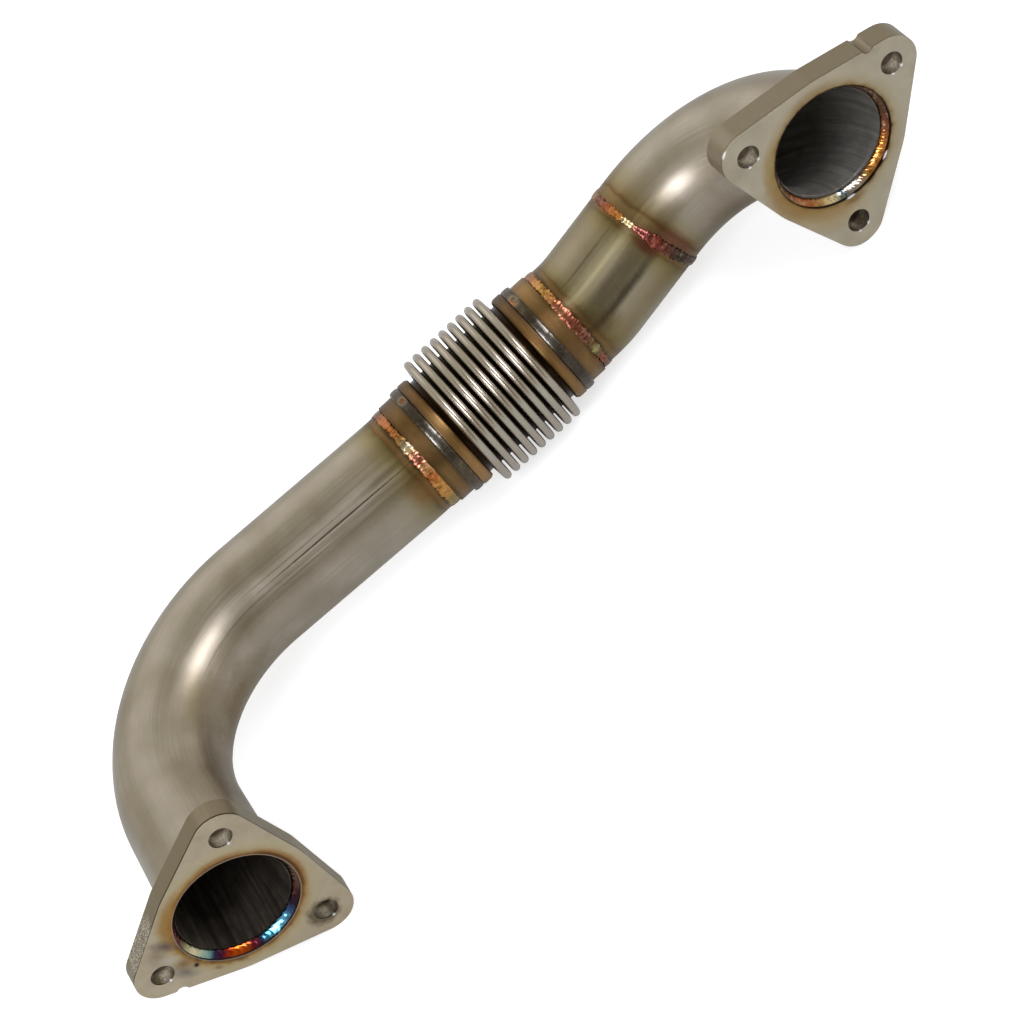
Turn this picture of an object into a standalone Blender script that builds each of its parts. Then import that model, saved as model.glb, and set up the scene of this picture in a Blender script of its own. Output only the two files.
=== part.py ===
"""Turbo up-pipe: two mandrel-bent stainless tubes joined by a bellows, with a 3-bolt flange at each end.

The pipe is built in its own frame, in metres: the origin is the middle of the bellows, +X runs
along the bellows towards the upper flange and +Z is the side both flanges look to. One empty
then lays the finished pipe down on the floor as it would come to rest.
"""

import math

import bmesh
import bpy
from mathutils import Euler, Matrix, Vector

MM = 0.001
GAP = 0.3  # clearance between any two pieces, filled by solder or weld in the real part
TUBE_SIDES = 32
BELLOWS_SIDES = 28

# Tube stock and bends
TUBE_R = 25.4  # 2 in tube
WALL = 1.65
PREP_R = TUBE_R - 0.45  # tube end turned down where a bead sits on it
PREP_LENGTH = 3.1
BEND_STEP = math.radians(9.5)
SHARP = math.radians(35)
FLAT = math.radians(1)

# Bend table: straight length of each leg, heading in the XY plane and rise towards +Z, in mm and degrees
LOWER_LEGS = [(6.51, 180.0, 0.0), (77.65, 178.1, 0.0), (56.44, -98.9, 44.0)]
LOWER_BEND_R = [150.0, 82.5]
UPPER_LEGS = [(4.97, 0.0, 0.0), (39.87, 10.3, 3.4), (0.34, -77.1, 55.6), (5.14, -86.8, 45.6)]
UPPER_BEND_R = [63.5, 69.5, 24.0]
SPOOL_STRAIGHT = 34.57  # from the end of the spool's bend to the elbow weld

# Bellows
PITCH = 4.96
CONVOLUTIONS = 9
CREST_WIDTH = 3.7
ROOT_R = TUBE_R + 0.1
CREST_R = ROOT_R + 7.85
PLY = 0.6
CUFF_END = PITCH * CONVOLUTIONS / 2 + 9.18

# Collar at each end of the bellows, measured from its middle
CAP_FROM = PITCH * CONVOLUTIONS / 2 + 1.88
CAP_TO = CAP_FROM + 5.5
SEAM_TO = CAP_TO + 4.7
SHOULDER = SEAM_TO + 6.6
JOINT = SHOULDER + 2.6  # where sleeve and tube meet
BEAD_END = JOINT + 2.8
SLEEVE_FROM = CAP_FROM + 0.4
CAP_R, SEAM_R = TUBE_R + 2.6, TUBE_R + 2.5
SLEEVE_R, BEAD_R = TUBE_R + 1.1, TUBE_R + 1.4
ELBOW_BEAD = 2.7  # half its width

# Flanges
MOUTH_R = TUBE_R + 1.9  # tube swaged out to meet the flange
BORE_R = MOUTH_R + 1.1
DISC_R = BORE_R + 7.7
BOLT_CIRCLE_R = BORE_R + 14.1
BOLT_HOLE_R = 5.3
LOBE_R = BOLT_HOLE_R + 7.2
LOWER_THICK = 10.0
UPPER_THICK = 12.4
TUBE_RECESS = 4.5
LOWER_SWAGE, UPPER_SWAGE = 90.0, 34.0  # length over which the tube opens to its mouth
EDGE_BREAK = 0.5
NOTCH_R = 3.0
LOWER_TURN = 73.0  # hole pattern about the flange axis, degrees
UPPER_TURN = 13.5
LOWER_NOTCH_TURN = 120.0
UPPER_NOTCH_TURN = 0.0

# How the finished pipe lies on the floor
REST_TURN = (46.57, 3.86, -9.29)
REST_SHIFT = (38.5, 24.9, 34.55)


def clear_scene():
    for obj in list(bpy.data.objects):
        bpy.data.objects.remove(obj, do_unlink=True)


def collection(name, hidden=False):
    made = bpy.data.collections.new(name)
    made.hide_render = hidden
    bpy.context.scene.collection.children.link(made)
    return made


def material(name, colour, rough, metal=1.0):
    made = bpy.data.materials.new(name)
    made.use_nodes = True
    shader = made.node_tree.nodes["Principled BSDF"]
    shader.inputs["Base Color"].default_value = (*colour, 1.0)
    shader.inputs["Roughness"].default_value = rough
    shader.inputs["Metallic"].default_value = metal
    made.diffuse_color = (*colour, 1.0)
    return made


def heading(azimuth, rise):
    a, r = math.radians(azimuth), math.radians(rise)
    return Vector((math.cos(a) * math.cos(r), math.sin(a) * math.cos(r), math.sin(r)))


def frame_at(origin, axis):
    """Frame with Z along the axis and X level in the pipe frame, placed at origin in mm."""
    z = axis.normalized()
    x = Vector((0, 0, 1)).cross(z).normalized()
    turned = Matrix((x, z.cross(x), z)).transposed().to_4x4()
    return Matrix.Translation(origin * MM) @ turned


def centreline(start, legs, radii):
    """Points along a bent tube, and the length run at each, from its bend table."""
    dirs = [heading(azimuth, rise) for _, azimuth, rise in legs]
    points = [start.copy()]
    for (length, _, _), before, after, radius in zip(legs, dirs, dirs[1:], radii):
        bend_from = points[-1] + before * length
        angle = before.angle(after)
        side = (after - before * before.dot(after)).normalized()
        steps = max(2, math.ceil(angle / BEND_STEP))
        for i in range(steps + 1):
            a = angle * i / steps
            points.append(bend_from + (before * math.sin(a) + side * (1 - math.cos(a))) * radius)
    points.append(points[-1] + dirs[-1] * legs[-1][0])
    runs = [0.0]
    for a, b in zip(points, points[1:]):
        runs.append(runs[-1] + (b - a).length)
    return points, runs


def cut(points, runs, begin, end, extra=()):
    """The stretch of a centreline between two lengths, with further stations added."""

    def at(run):
        for i in range(len(runs) - 1):
            if run <= runs[i + 1] or i == len(runs) - 2:
                return points[i].lerp(points[i + 1], (run - runs[i]) / (runs[i + 1] - runs[i]))

    wanted = [begin, end, *extra]
    kept = [r for r in runs if begin < r < end and all(abs(r - w) > GAP for w in wanted)]
    stations = sorted(kept + wanted)
    return [at(s) for s in stations], stations


def as_mesh(name, curve_data, into, flat=False):
    """A mesh object of the curve's own surface, with its caps welded on; flat joins each cap's faces."""
    curve = bpy.data.objects.new(name + "_curve", curve_data)
    into.objects.link(curve)
    graph = bpy.context.evaluated_depsgraph_get()
    data = bpy.data.meshes.new_from_object(curve.evaluated_get(graph))
    work = bmesh.new()
    work.from_mesh(data)
    bmesh.ops.remove_doubles(work, verts=work.verts, dist=0.01 * MM)
    if flat:
        bmesh.ops.dissolve_limit(work, angle_limit=FLAT, verts=work.verts, edges=work.edges)
    bmesh.ops.recalc_face_normals(work, faces=work.faces)
    work.to_mesh(data)
    work.free()
    data.shade_smooth()
    data.set_sharp_from_angle(angle=SHARP)
    obj = bpy.data.objects.new(name, data)
    obj.matrix_world = curve.matrix_world
    into.objects.link(obj)
    bpy.data.objects.remove(curve, do_unlink=True)
    return obj


def swept(name, into, points, radii):
    """A solid rod through the points, in mm, with its own radius at each."""
    data = bpy.data.curves.new(name, "CURVE")
    data.dimensions = "3D"
    data.bevel_depth = MM
    data.bevel_resolution = TUBE_SIDES // 2 - 2
    data.use_fill_caps = True
    line = data.splines.new("POLY")
    line.points.add(len(points) - 1)
    for target, place, radius in zip(line.points, points, radii):
        target.co = (*(place * MM), 1.0)
        target.radius = radius
    return as_mesh(name, data, into)


def boolean(obj, cutter, operation="DIFFERENCE"):
    step = obj.modifiers.new(cutter.name, "BOOLEAN")
    step.object = cutter
    step.operation = operation
    step.solver = "EXACT"


def helper(obj):
    obj.hide_render = True
    obj.display_type = "WIRE"
    return obj


def bent_tube(name, line, begin, end, radius_at, preps, finish):
    """A tube along part of a centreline. preps are the ends turned down for a bead."""
    points, runs = line
    extra = []
    if "start" in preps:
        extra += [begin + PREP_LENGTH, begin + PREP_LENGTH + GAP]
    if "end" in preps:
        extra += [end - PREP_LENGTH, end - PREP_LENGTH - GAP]
    places, stations = cut(points, runs, begin, end, extra)
    outer = []
    for s in stations:
        worn = ("start" in preps and s <= begin + PREP_LENGTH) or ("end" in preps and s >= end - PREP_LENGTH)
        outer.append(PREP_R if worn else radius_at(s))
    tube = swept(name, pipe, places, outer)
    first = places[0] + (places[0] - places[1]).normalized() * WALL
    last = places[-1] + (places[-1] - places[-2]).normalized() * WALL
    inner = [radius_at(s) - WALL for s in stations]
    bore = swept(name + "_bore", cutters, [first, *places[1:-1], last], inner)
    boolean(tube, helper(bore))
    tube.data.materials.append(finish)
    tube.parent = bore.parent = lay
    return tube


def ring(name, profile, where, sides, finish, into=None):
    """A turned ring: profile points are (radius, height) in mm, outer side first, top to bottom."""
    data = bpy.data.meshes.new(name)
    count = len(profile)
    data.from_pydata(
        [(r * MM, 0, h * MM) for r, h in profile], [(i, (i + 1) % count) for i in range(count)], []
    )
    obj = bpy.data.objects.new(name, data)
    (into or pipe).objects.link(obj)
    turn = obj.modifiers.new("Turn", "SCREW")
    turn.axis = "Z"
    turn.angle = math.tau
    turn.steps = turn.render_steps = sides
    turn.use_merge_vertices = True
    turn.merge_threshold = 0.01 * MM
    turn.use_smooth_shade = True
    obj.matrix_world = where
    if finish:
        data.materials.append(finish)
    obj.parent = lay
    return obj


def rounded_plate(name, thick, turn):
    """Flange outline: a disc and three lobes joined by tangents, as a plate about its middle."""
    corners = []
    swing = math.acos((DISC_R - LOBE_R) / BOLT_CIRCLE_R)
    for k in range(3):
        middle = math.radians(turn + 120 * k)
        centre = Vector((math.cos(middle), math.sin(middle), 0)) * BOLT_CIRCLE_R
        for i in range(11):
            a = middle - swing + 2 * swing * i / 10
            corners.append(centre + Vector((math.cos(a), math.sin(a), 0)) * LOBE_R)
        from_a, to_a = middle + swing, middle + math.tau / 3 - swing
        for i in range(5):
            a = from_a + (to_a - from_a) * i / 4
            corners.append(Vector((math.cos(a), math.sin(a), 0)) * DISC_R)
    data = bpy.data.curves.new(name, "CURVE")
    data.dimensions = "2D"
    data.fill_mode = "BOTH"
    data.extrude = thick / 2 * MM
    line = data.splines.new("POLY")
    line.points.add(len(corners) - 1)
    for target, place in zip(line.points, corners):
        target.co = (*(place * MM), 1.0)
    line.use_cyclic_u = True
    obj = as_mesh(name, data, pipe, flat=True)
    soft = obj.modifiers.new("Edge break", "BEVEL")
    soft.width = EDGE_BREAK * MM
    soft.segments = 1
    soft.limit_method = "ANGLE"
    soft.angle_limit = math.radians(60)
    return obj


def flange(name, where, thick, turn, notch_turn, notch_side, finish):
    plate = rounded_plate(name, thick, turn)
    plate.matrix_world = where @ Matrix.Translation((0, 0, -thick / 2 * MM))
    plate.parent = lay
    for label, radius, place, depth in (
        [("bore", BORE_R, Vector((0, 0, 0)), thick)]
        + [
            (f"hole_{k + 1}", BOLT_HOLE_R, heading(turn + 120 * k, 0) * BOLT_CIRCLE_R, thick)
            for k in range(3)
        ]
        + [("notch", NOTCH_R, notch_place(turn + notch_turn, notch_side), thick)]
    ):
        bpy.ops.mesh.primitive_cylinder_add(
            vertices=TUBE_SIDES if radius > LOBE_R else 20,
            radius=radius * MM,
            depth=3 * depth * MM,
            location=place * MM,
        )
        tool = bpy.context.object
        tool.name = f"{name}_{label}"
        for owner in tool.users_collection:
            owner.objects.unlink(tool)
        cutters.objects.link(tool)
        tool.matrix_world = where @ Matrix.Translation(place * MM)
        tool.parent = lay
        boolean(plate, helper(tool))
    plate.data.materials.append(finish)
    return plate


def notch_place(lobe_turn, side):
    """A small scallop where the tangent leaves a lobe: side is +1 or -1 round the lobe."""
    swing = math.acos((DISC_R - LOBE_R) / BOLT_CIRCLE_R)
    a = math.radians(lobe_turn) + side * swing
    edge = heading(lobe_turn, 0) * BOLT_CIRCLE_R + Vector((math.cos(a), math.sin(a), 0)) * LOBE_R
    return edge + Vector((math.cos(a), math.sin(a), 0)) * (NOTCH_R * 0.45)


def bellows_profile():
    """One closed loop: outside from top to bottom, then back up inside, one ply thick."""
    half = PITCH * CONVOLUTIONS / 2
    outer, inner = [(ROOT_R, CUFF_END)], []
    crest, tip = CREST_WIDTH / 2, CREST_WIDTH / 4
    for k in range(CONVOLUTIONS):
        middle = half - PITCH * (k + 0.5)
        outer += [
            (ROOT_R, middle + crest),
            (CREST_R - tip, middle + crest),
            (CREST_R, middle + tip),
            (CREST_R, middle - tip),
            (CREST_R - tip, middle - crest),
            (ROOT_R, middle - crest),
        ]
        inner += [
            (ROOT_R - PLY, middle + crest - PLY),
            (CREST_R - tip - PLY / 2, middle + crest - PLY),
            (CREST_R - PLY, middle + tip - PLY / 4),
            (CREST_R - PLY, middle - tip + PLY / 4),
            (CREST_R - tip - PLY / 2, middle - crest + PLY),
            (ROOT_R - PLY, middle - crest + PLY),
        ]
    outer.append((ROOT_R, -CUFF_END))
    inner = [(ROOT_R - PLY, CUFF_END), *inner, (ROOT_R - PLY, -CUFF_END)]
    return outer + inner[::-1]


def collar(side, where):
    """The cap ring, seam weld, sleeve and bead at one end of the bellows; height runs outwards."""
    ring(
        f"{side}_cap_ring",
        [
            (CAP_R - EDGE_BREAK, CAP_TO), (CAP_R, CAP_TO - EDGE_BREAK), (CAP_R, CAP_FROM + EDGE_BREAK),
            (CAP_R - EDGE_BREAK, CAP_FROM), (ROOT_R + GAP, CAP_FROM), (ROOT_R + GAP, CAP_TO),
        ],
        where, TUBE_SIDES, cap_steel,
    )
    seam_from = CAP_TO + GAP
    ring(
        f"{side}_seam_weld",
        [
            (SLEEVE_R - GAP, SEAM_TO), (SLEEVE_R + GAP, SEAM_TO - 2 * GAP), (SEAM_R - GAP, seam_from + 4 * GAP),
            (SEAM_R, seam_from + 2 * GAP), (SEAM_R - GAP, seam_from),
            (ROOT_R + GAP, seam_from), (ROOT_R + GAP, SEAM_TO),
        ],
        where, TUBE_SIDES, weld_dark,
    )
    inside, spigot = TUBE_R - WALL, ROOT_R - PLY - GAP
    sleeve_end = JOINT - GAP / 2
    ring(
        f"{side}_sleeve",
        [
            (PREP_R, sleeve_end), (PREP_R, SHOULDER), (SLEEVE_R, SHOULDER),
            (SLEEVE_R, SEAM_TO + GAP), (ROOT_R, SEAM_TO + GAP), (ROOT_R, CUFF_END + GAP),
            (spigot, CUFF_END + GAP), (spigot, SLEEVE_FROM), (inside, SLEEVE_FROM), (inside, sleeve_end),
        ],
        where, TUBE_SIDES, sleeve_steel,
    )
    bead_in = PREP_R + GAP + 0.05
    bead_from = SHOULDER + GAP
    ring(
        f"{side}_collar_weld",
        [
            (TUBE_R + GAP, BEAD_END), (BEAD_R - 2 * GAP, BEAD_END - 4 * GAP), (BEAD_R, JOINT),
            (BEAD_R - GAP, bead_from + GAP), (SLEEVE_R - 2 * GAP, bead_from),
            (bead_in, bead_from), (bead_in, BEAD_END),
        ],
        where, TUBE_SIDES, weld_gold,
    )


def flange_weld(name, where, finish):
    """The bead laid inside a flange bore on the end of the tube."""
    top, foot, wall = -EDGE_BREAK * 2, -(TUBE_RECESS - GAP), BORE_R - GAP
    ring(
        name,
        [
            (wall, top), (wall, foot), (MOUTH_R - WALL + GAP, foot),
            (MOUTH_R - WALL + 2 * GAP, foot + 3 * GAP), (MOUTH_R - GAP, foot + 7 * GAP),
        ],
        where, TUBE_SIDES, finish,
    )


clear_scene()
bpy.context.scene.unit_settings.system = "METRIC"
pipe = collection("turbo_up_pipe")
cutters = collection("cutters", hidden=True)

tube_steel = material("tube_steel", (0.42, 0.38, 0.32), 0.3)
flange_steel = material("flange_steel", (0.45, 0.41, 0.34), 0.38)
bellows_steel = material("bellows_steel", (0.55, 0.53, 0.5), 0.2)
cap_steel = material("cap_steel", (0.2, 0.13, 0.09), 0.35)
sleeve_steel = material("sleeve_steel", (0.17, 0.13, 0.06), 0.3)
weld_dark = material("weld_dark", (0.08, 0.08, 0.08), 0.4)
weld_gold = material("weld_gold", (0.5, 0.25, 0.12), 0.3)
weld_blue = material("weld_blue", (0.2, 0.25, 0.4), 0.3)

lay = bpy.data.objects.new("lay", None)
pipe.objects.link(lay)

ORIGIN = Vector((0, 0, 0))
UP_X = Vector((1, 0, 0))
lower_line = centreline(UP_X * -JOINT, LOWER_LEGS, LOWER_BEND_R)
upper_line = centreline(UP_X * JOINT, UPPER_LEGS, UPPER_BEND_R)
lower_end, upper_end = lower_line[1][-1], upper_line[1][-1]


def lower_radius(run):
    """Plain tube, then swaged out from late in the bend up to the flange."""
    stretch = (run - (lower_end - LOWER_SWAGE)) / (LOWER_SWAGE - TUBE_RECESS)
    return TUBE_R + (MOUTH_R - TUBE_R) * max(0.0, min(1.0, stretch)) ** 1.3


def upper_radius(run):
    stretch = (run - (upper_end - UPPER_SWAGE)) / (UPPER_SWAGE - TUBE_RECESS)
    return TUBE_R + (MOUTH_R - TUBE_R) * max(0.0, min(1.0, stretch)) ** 1.6


along = frame_at(ORIGIN, UP_X)
ring("bellows", bellows_profile(), along, BELLOWS_SIDES, bellows_steel)
collar("upper", along)
collar("lower", frame_at(ORIGIN, -UP_X))

bent_tube(
    "lower_tube", lower_line, GAP / 2, lower_end - TUBE_RECESS, lower_radius, ("start",), tube_steel
)
weld_dir = heading(*UPPER_LEGS[1][1:])
bend_ends = 1 + max(2, math.ceil(UP_X.angle(weld_dir) / BEND_STEP)) + 1
weld_run = upper_line[1][bend_ends - 1] + SPOOL_STRAIGHT
weld_place = upper_line[0][bend_ends - 1] + weld_dir * SPOOL_STRAIGHT
bent_tube(
    "spool_tube", upper_line, GAP / 2, weld_run - GAP / 2, upper_radius, ("start", "end"), tube_steel
)
bent_tube(
    "upper_elbow", upper_line, weld_run + GAP / 2, upper_end - TUBE_RECESS, upper_radius,
    ("start",), tube_steel,
)
bead_in = PREP_R + GAP + 0.05
ring(
    "elbow_weld",
    [
        (TUBE_R + GAP, ELBOW_BEAD), (BEAD_R - 2 * GAP, ELBOW_BEAD - 4 * GAP), (BEAD_R - GAP, 0.0),
        (BEAD_R - 2 * GAP, 4 * GAP - ELBOW_BEAD), (TUBE_R + GAP, -ELBOW_BEAD),
        (bead_in, -ELBOW_BEAD), (bead_in, ELBOW_BEAD),
    ],
    frame_at(weld_place, weld_dir), TUBE_SIDES, weld_gold,
)

lower_face = frame_at(lower_line[0][-1], heading(*LOWER_LEGS[-1][1:]))
upper_face = frame_at(upper_line[0][-1], heading(*UPPER_LEGS[-1][1:]))
flange("lower_flange", lower_face, LOWER_THICK, LOWER_TURN, LOWER_NOTCH_TURN, 1, flange_steel)
flange("upper_flange", upper_face, UPPER_THICK, UPPER_TURN, UPPER_NOTCH_TURN, 1, flange_steel)
flange_weld("lower_flange_weld", lower_face, weld_blue)
flange_weld("upper_flange_weld", upper_face, weld_gold)

turned = Euler([math.radians(a) for a in REST_TURN], "XYZ").to_matrix().to_4x4()
lay.matrix_world = Matrix.Translation(Vector(REST_SHIFT) * MM) @ turned
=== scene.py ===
import math

import bmesh
import bpy
from mathutils import Euler, Matrix, Vector, noise


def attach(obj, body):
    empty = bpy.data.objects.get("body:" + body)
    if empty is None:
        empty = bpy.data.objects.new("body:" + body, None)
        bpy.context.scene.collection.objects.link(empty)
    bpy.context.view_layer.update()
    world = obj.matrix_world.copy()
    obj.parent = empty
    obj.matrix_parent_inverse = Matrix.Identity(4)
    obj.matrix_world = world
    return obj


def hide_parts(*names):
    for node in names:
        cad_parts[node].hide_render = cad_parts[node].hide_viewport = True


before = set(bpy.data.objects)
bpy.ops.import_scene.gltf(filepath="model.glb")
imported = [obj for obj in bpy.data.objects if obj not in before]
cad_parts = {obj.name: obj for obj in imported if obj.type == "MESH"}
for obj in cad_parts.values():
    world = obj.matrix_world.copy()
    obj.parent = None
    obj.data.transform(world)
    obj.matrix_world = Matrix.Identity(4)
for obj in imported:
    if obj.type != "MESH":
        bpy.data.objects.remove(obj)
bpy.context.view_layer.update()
bpy.ops.object.select_all(action="DESELECT")
print("frame loaded:", len(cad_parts), "nodes")

mm = 0.001

# How the finished pipe lies: its own frame has X along the bellows and Z to the side that the flanges look to
layDown = {"turn": (46.57, 3.86, -9.29), "shift": (38.5, 24.9, 34.55)}
layMatrix = Matrix.Translation(Vector(layDown["shift"]) * mm) @ Euler(
    [math.radians(a) for a in layDown["turn"]], "XYZ"
).to_matrix().to_4x4()

tubing = {
    "radius": 25.4, "wall": 1.65, "mouthRadius": 27.3, "recess": 4.5, "sides": 128, "sliceLength": 1.5,
    "stationStep": 0.5, "joint": 43.6, "endGap": 0.1, "collarWeldRun": 1.5, "elbowWeldAt": 40.6,
    # length, heading and rise of each leg, then the radius of each bend
    "lowerLegs": [(9.0, 180.0, 0.0), (155.7, 178.1, 0.0), (132.0, -98.9, 44.0)], "lowerBends": [150.0, 82.5],
    "upperLegs": [(11.0, 0.0, 0.0), (110.4, 10.3, 3.4), (67.3, -77.1, 55.6), (7.6, -86.8, 45.6)],
    "upperBends": [63.5, 69.5, 24.0],
    # how far the elbow weld lies askew, towards which turn and over what length of tube
    "weldSkew": (2.7, 62.0, 20.0),
    # how far from its end each tube begins to widen, and how late it widens
    "lowerSwage": (90.0, 1.3), "upperSwage": (34.0, 1.6),
}
bellows = {
    "pitch": 4.96, "convolutions": 9, "crestRadius": 33.35, "crestWidth": 3.7, "rootRadius": 25.5,
    "ply": 0.6, "cuffEnd": 31.5, "steps": 192, "crestSteps": 8, "rootSteps": 4,
}
collar = {
    "capFrom": 24.2, "capTo": 29.7, "capRadius": 28.0, "capSlope": 1.6, "capStep": 0.8, "capGap": 0.2,
    "capEdge": 0.6, "seamTo": 34.4, "seamRadius": 27.9, "seamTuck": 0.1, "seamLap": 0.5,
    "sleeveRadius": 26.5, "sleeveFrom": 24.6, "sleeveGap": 0.3, "shoulder": 41.0, "shoulderEnds": (0.8, 0.6),
    "beadEnd": 46.4, "beadRadius": 26.8, "beadPoints": 14, "steps": 160, "weldSteps": 540,
}
# each bead: inner radius, low and high edge, crest and foot radius in mm, then how flat its crest is
beadShapes = {
    "seam": (
        bellows["rootRadius"] + collar["capGap"], collar["capTo"] - collar["seamTuck"], collar["seamTo"],
        collar["seamRadius"], 26.3, 0.32,
    ),
    "collar": (25.2, collar["shoulder"], collar["beadEnd"], collar["beadRadius"], 25.3, 0.5),
    "elbow": (25.2, -2.6, 2.6, 26.6, 25.35, 0.5),
}
# each bead: pitch, depth and bow of its ripples, unevenness of crest and of edge in mm, then a seed
beadRipples = {
    "lowerSeam": (0.9, 0.06, 1.2, 0.12, 0.15, 2), "upperSeam": (0.9, 0.06, 1.2, 0.12, 0.15, 11),
    "lowerCollar": (1.7, 0.2, 1.0, 0.3, 0.9, 5), "upperCollar": (1.6, 0.24, 1.0, 0.3, 0.9, 8),
    "elbow": (1.7, 0.22, 1.0, 0.3, 0.9, 17),
}
# each bead: turns round it, with its width and height there as shares of its full size
beadForms = {
    "seam": [(0, 1, 1), (360, 1, 1)],
    "lowerCollar": [
        (0, 0.9, 0.4), (40, 1.1, 0.9), (95, 0.95, 1.1), (122, 0.6, 0.8), (150, 0.8, 0.6), (180, 0.85, 0.4),
        (270, 1, 1), (360, 0.9, 0.4),
    ],
    "upperCollar": [
        (0, 0.8, 0.45), (60, 0.75, 0.8), (90, 1.1, 1.1), (122, 0.95, 0.9), (150, 0.6, 0.6), (180, 0.8, 0.4),
        (270, 1, 1), (360, 0.8, 0.45),
    ],
    "elbow": [
        (0, 0.7, 0.35), (45, 0.7, 0.6), (80, 0.45, 0.8), (104, 1.05, 1.0), (135, 0.95, 0.8), (170, 0.75, 0.6),
        (270, 0.9, 0.8), (360, 0.7, 0.35),
    ],
}
# turn, height, half width and depth of the pit where the torch left each seam
seamPits = {"lower": (141, 32.0, 1.3, 0.7), "upper": (40, 32.0, 1.5, 0.6)}
# the weld in each mouth: its ripples are given as pitch, depth, unevenness and seed
mouthBead = {
    "top": -1.0, "gap": 0.1, "tubeGap": 0.2, "footRise": 0.5, "points": 10, "hollow": (1.25, 0.9), "bow": 0.9,
    "inwards": 0.7, "upwards": 0.6, "lower": (3.0, 0.12, 0.15, 23), "upper": (1.7, 0.22, 0.25, 29),
}
flangeShape = {
    "boltCircle": 42.5, "boltHole": 5.3, "lobe": 12.5, "disc": 36.1, "bore": 28.4, "edge": 0.6, "notch": 3.0,
    "notchOut": 0.45, "roundSides": 128, "lobeSides": 64, "notchSides": 48,
    "lower": {"thick": 10.0, "turn": 73.0, "notchTurn": 193.0, "notchSlide": 7.7, "glintTurns": (-76,)},
    "upper": {"thick": 12.4, "turn": 13.5, "notchTurn": 13.5, "notchSlide": 8.8, "glintTurns": (-62, -115)},
}


def heading(azimuth, rise):
    a, r = math.radians(azimuth), math.radians(rise)
    return Vector((math.cos(a) * math.cos(r), math.sin(a) * math.cos(r), math.sin(r)))


def frameAt(origin, axis):
    # Z along the axis, X level in the pipe frame
    z = axis.normalized()
    x = Vector((0, 0, 1)).cross(z).normalized()
    return Matrix.Translation(origin * mm) @ Matrix((x, z.cross(x), z)).transposed().to_4x4()


def centreline(start, legs, radii):
    # straight runs and arcs as (length, start point, direction, side, radius); radius 0 is straight
    corner, pieces = start.copy(), []
    dirs = [heading(*leg[1:]) for leg in legs]
    cutBack = 0.0
    for i, (length, _, _) in enumerate(legs):
        nextCorner = corner + dirs[i] * length
        angle = dirs[i].angle(dirs[i + 1]) if i < len(radii) else 0.0
        reach = radii[i] * math.tan(angle / 2) if i < len(radii) else 0.0
        pieces.append((length - cutBack - reach, corner + dirs[i] * cutBack, dirs[i], None, 0.0))
        if i < len(radii):
            side = (dirs[i + 1] - dirs[i] * dirs[i].dot(dirs[i + 1])).normalized()
            pieces.append((radii[i] * angle, nextCorner - dirs[i] * reach, dirs[i], side, radii[i]))
        corner, cutBack = nextCorner, reach
    return pieces


def alongLine(pieces, run):
    # point and direction at a length along the centreline
    for i, (length, start, direction, side, radius) in enumerate(pieces):
        if run <= length or i == len(pieces) - 1:
            if not radius:
                return start + direction * run, direction
            a = run / radius
            point = start + (direction * math.sin(a) + side * (1 - math.cos(a))) * radius
            return point, direction * math.cos(a) + side * math.sin(a)
        run -= length


def lineLength(pieces):
    return sum(piece[0] for piece in pieces)


def select(obj):
    bpy.ops.object.select_all(action="DESELECT")
    obj.select_set(True)
    bpy.context.view_layer.objects.active = obj


def applyModifiers(obj):
    select(obj)
    for modifier in list(obj.modifiers):
        bpy.ops.object.modifier_apply(modifier=modifier.name)


def cylinder(radius, middle, depth, sides, ends="NGON"):
    # a cylinder along Z, in mm
    bpy.ops.mesh.primitive_cylinder_add(
        vertices=sides, radius=radius * mm, depth=depth * mm, end_fill_type=ends,
        location=tuple(c * mm for c in middle),
    )
    return bpy.context.object


def turnProfile(name, profile, steps):
    # a ring turned from its profile of (radius, height) in mm, as on a lathe
    data = bpy.data.meshes.new(name)
    count = len(profile)
    corners = [(r * mm, 0, h * mm) for r, h in profile]
    data.from_pydata(corners, [(i, (i + 1) % count) for i in range(count)], [])
    ring = bpy.data.objects.new(name, data)
    bpy.context.scene.collection.objects.link(ring)
    select(ring)
    bpy.ops.object.mode_set(mode="EDIT")
    bpy.ops.mesh.select_all(action="SELECT")
    bpy.ops.mesh.spin(steps=steps, angle=math.tau, center=(0, 0, 0), axis=(0, 0, 1))
    bpy.ops.mesh.select_all(action="SELECT")
    bpy.ops.mesh.remove_doubles(threshold=0.002 * mm)
    bpy.ops.mesh.normals_make_consistent(inside=False)
    bpy.ops.object.mode_set(mode="OBJECT")
    return ring


def softenEdges(obj, width, segments, angle):
    bevel = obj.modifiers.new("Edges", "BEVEL")
    bevel.width = width * mm
    bevel.segments = segments
    bevel.limit_method = "ANGLE"
    bevel.angle_limit = math.radians(angle)
    bevel.use_clamp_overlap = True
    applyModifiers(obj)


def evenShading(obj):
    # wide faces stay flat in their shading and only the rounded edges turn
    smooth(obj)
    weighted = obj.modifiers.new("Shading", "WEIGHTED_NORMAL")
    weighted.weight = 90
    weighted.keep_sharp = True
    applyModifiers(obj)


def smooth(obj, angle=35.0):
    select(obj)
    bpy.ops.object.shade_smooth_by_angle(angle=math.radians(angle))


def rememberPlace(obj):
    # keeps each point's place on the unbent piece, in mm, for the materials to follow
    places = obj.data.attributes.new("lay", "FLOAT_VECTOR", "POINT")
    flat = [value / mm for vertex in obj.data.vertices for value in vertex.co]
    places.data.foreach_set("vector", flat)


def dress(obj, slot, *finishes):
    for made in finishes:
        obj.data.materials.append(made)
    rememberPlace(obj)


def settle(obj, where):
    # puts a finished piece in place, with its place in its mesh, and hangs it on the pipe
    obj.data.transform(layMatrix @ where)
    obj.data.update()
    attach(obj, "root")


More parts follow.
